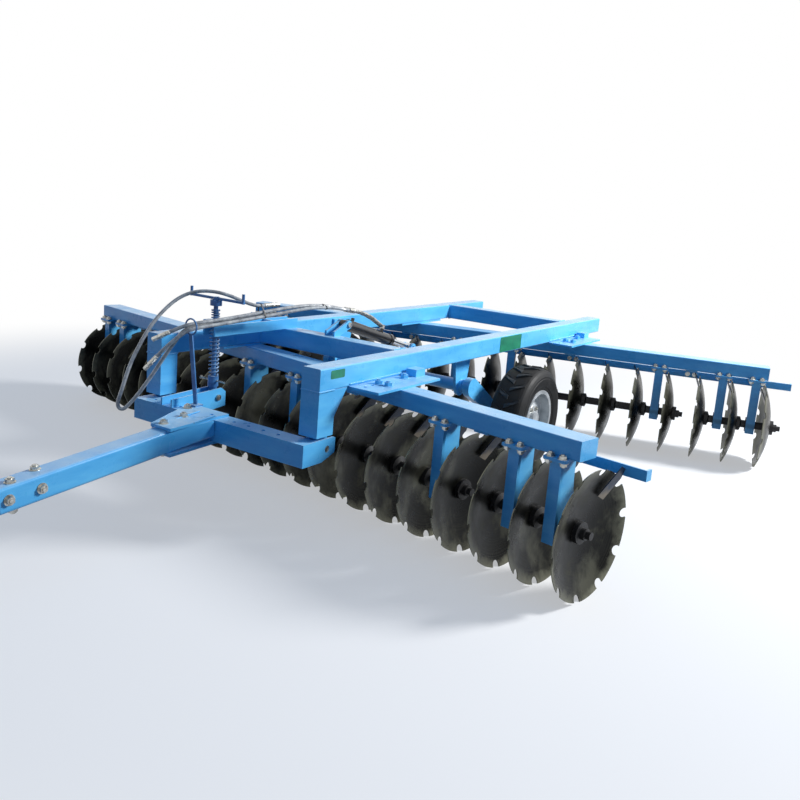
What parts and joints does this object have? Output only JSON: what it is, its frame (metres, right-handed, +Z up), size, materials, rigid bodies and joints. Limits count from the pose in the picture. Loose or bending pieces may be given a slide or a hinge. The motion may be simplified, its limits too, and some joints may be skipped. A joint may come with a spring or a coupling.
{
  "type": "offset disc harrow",
  "caption": "Trailed offset disc harrow: two angled gangs of concave discs under a steel frame, a drawbar with levelling strut, and wheels on a cylinder-lifted rockshaft.",
  "frame": {"origin": "on the ground under the middle of the whole machine", "axes": "+Z up, +Y towards the rear of the machine, +X towards its left side"},
  "size_m": [5.0564, 5.649, 1.225],
  "materials": {
    "frame_blue": "satin",
    "zinc": "satin",
    "hose_rubber": "matt",
    "spring_black": "satin",
    "tyre": "rubber",
    "rim_silver": "satin",
    "black_paint": "gloss",
    "chrome_rod": "polished",
    "dark_steel": "rough",
    "disc_steel": "worn"
  },
  "bodies": {
    "frame": {"longitudinals": "frame_blue", "front_cross_tube": "frame_blue", "rear_cross_tube": "frame_blue", "front_posts": "frame_blue", "front_gang_beam": "frame_blue", "rear_gang_beam": "frame_blue", "beam_clamps": "frame_blue", "hangers": "frame_blue", "scraper_rails": "frame_blue", "rail_stays": "frame_blue", "scrapers": "frame_blue", "guide_arm": "frame_blue", "rock_hangers": "frame_blue", "lift_pin": "zinc", "hose_a": "hose_rubber", "hose_b": "hose_rubber", "hose_c": "hose_rubber", "ring_couplers": "zinc", "tie_couplers": "zinc"},
    "drawbar": {"cross_member": "frame_blue", "drawbar_pins": "zinc", "drawbar": "frame_blue", "head_plates": "frame_blue", "hitch_shank": "frame_blue", "hitch_plates": "frame_blue", "hitch_packings": "frame_blue", "levelling_ears": "frame_blue", "levelling_pin": "zinc", "hose_holder": "frame_blue"},
    "levelling_rod": {"levelling_rod": "frame_blue", "clip_pin": "zinc", "lower_spring": "spring_black", "upper_spring": "spring_black"},
    "rockshaft": {"rockshaft": "frame_blue", "wheel_arms": "frame_blue", "lift_cranks": "frame_blue"},
    "left_wheel": {"tyre_left": "tyre", "rim_left": "rim_silver"},
    "right_wheel": {"tyre_right": "tyre", "rim_right": "rim_silver"},
    "lift_barrel": {"lift_barrel": "black_paint", "cylinder_pipes": "zinc"},
    "lift_rod": {"lift_rod": "chrome_rod"},
    "front_gang_1": {"front_axle_1": "dark_steel", "front_discs_1": "disc_steel"},
    "front_gang_2": {"front_axle_2": "dark_steel", "front_discs_2": "disc_steel"},
    "front_gang_3": {"front_axle_3": "dark_steel", "front_discs_3": "disc_steel"},
    "front_gang_4": {"front_axle_4": "dark_steel", "front_discs_4": "disc_steel"},
    "rear_gang_1": {"rear_axle_1": "dark_steel", "rear_discs_1": "disc_steel"},
    "rear_gang_2": {"rear_axle_2": "dark_steel", "rear_discs_2": "disc_steel"},
    "rear_gang_3": {"rear_axle_3": "dark_steel", "rear_discs_3": "disc_steel"},
    "rear_gang_4": {"rear_axle_4": "dark_steel", "rear_discs_4": "disc_steel"}
  },
  "joints": [
    {"name": "drawbar_hinge", "type": "hinge", "parent": "frame", "child": "drawbar", "pos_m": [0.12897, -1.13852, 0.493], "axis": [1, 0, 0], "range_deg": [-6, 6], "deforming": ["hose_a", "hose_b", "hose_c"]},
    {"name": "levelling_pivot", "type": "hinge", "parent": "drawbar", "child": "levelling_rod", "pos_m": [-0.25603, -0.97552, 0.56], "axis": [1, 0, 0], "range_deg": [-7.2, 7.2], "deforming": ["lower_spring", "upper_spring"]},
    {"name": "rockshaft_hinge", "type": "hinge", "parent": "frame", "child": "rockshaft", "pos_m": [0.12897, 0.50448, 0.6], "axis": [1, 0, 0], "range_deg": [-40, 16]},
    {"name": "left_wheel_axle", "type": "hinge", "parent": "rockshaft", "child": "left_wheel", "pos_m": [1.01897, 0.88448, 0.38], "axis": [1, 0, 0], "continuous": true},
    {"name": "right_wheel_axle", "type": "hinge", "parent": "rockshaft", "child": "right_wheel", "pos_m": [-0.76103, 0.88448, 0.38], "axis": [1, 0, 0], "continuous": true},
    {"name": "lift_barrel_pivot", "type": "hinge", "parent": "frame", "child": "lift_barrel", "pos_m": [0.12897, -0.18052, 1.011], "axis": [1, 0, 0], "range_deg": [-6, 2.5]},
    {"name": "lift_rod_slide", "type": "slide", "parent": "lift_barrel", "child": "lift_rod", "axis": [0, 0.9621, -0.2727], "range_m": [-0.06, 0.14]},
    {"name": "front_gang_axle_1", "type": "hinge", "parent": "frame", "child": "front_gang_1", "pos_m": [0.14807, -0.50522, 0.33], "axis": [0.9848, -0.1736, 0], "continuous": true},
    {"name": "front_gang_axle_2", "type": "hinge", "parent": "frame", "child": "front_gang_2", "pos_m": [0.14807, -0.50522, 0.33], "axis": [0.9848, -0.1736, 0], "continuous": true},
    {"name": "front_gang_axle_3", "type": "hinge", "parent": "frame", "child": "front_gang_3", "pos_m": [0.14807, -0.50522, 0.33], "axis": [0.9848, -0.1736, 0], "continuous": true},
    {"name": "front_gang_axle_4", "type": "hinge", "parent": "frame", "child": "front_gang_4", "pos_m": [0.14807, -0.50522, 0.33], "axis": [0.9848, -0.1736, 0], "continuous": true},
    {"name": "rear_gang_axle_1", "type": "hinge", "parent": "frame", "child": "rear_gang_1", "pos_m": [0.11727, 1.83608, 0.33], "axis": [0.9724, 0.2334, 0], "continuous": true},
    {"name": "rear_gang_axle_2", "type": "hinge", "parent": "frame", "child": "rear_gang_2", "pos_m": [0.11727, 1.83608, 0.33], "axis": [0.9724, 0.2334, 0], "continuous": true},
    {"name": "rear_gang_axle_3", "type": "hinge", "parent": "frame", "child": "rear_gang_3", "pos_m": [0.11727, 1.83608, 0.33], "axis": [0.9724, 0.2334, 0], "continuous": true},
    {"name": "rear_gang_axle_4", "type": "hinge", "parent": "frame", "child": "rear_gang_4", "pos_m": [0.11727, 1.83608, 0.33], "axis": [0.9724, 0.2334, 0], "continuous": true}
  ],
  "couplings": [
    {"joint": "levelling_pivot", "follows": "drawbar_hinge", "ratio": -1.14},
    {"joint": "lift_barrel_pivot", "follows": "rockshaft_hinge", "ratio": 0.1204},
    {"joint": "lift_rod_slide", "follows": "rockshaft_hinge", "m_per_rad": -0.186}
  ]
}
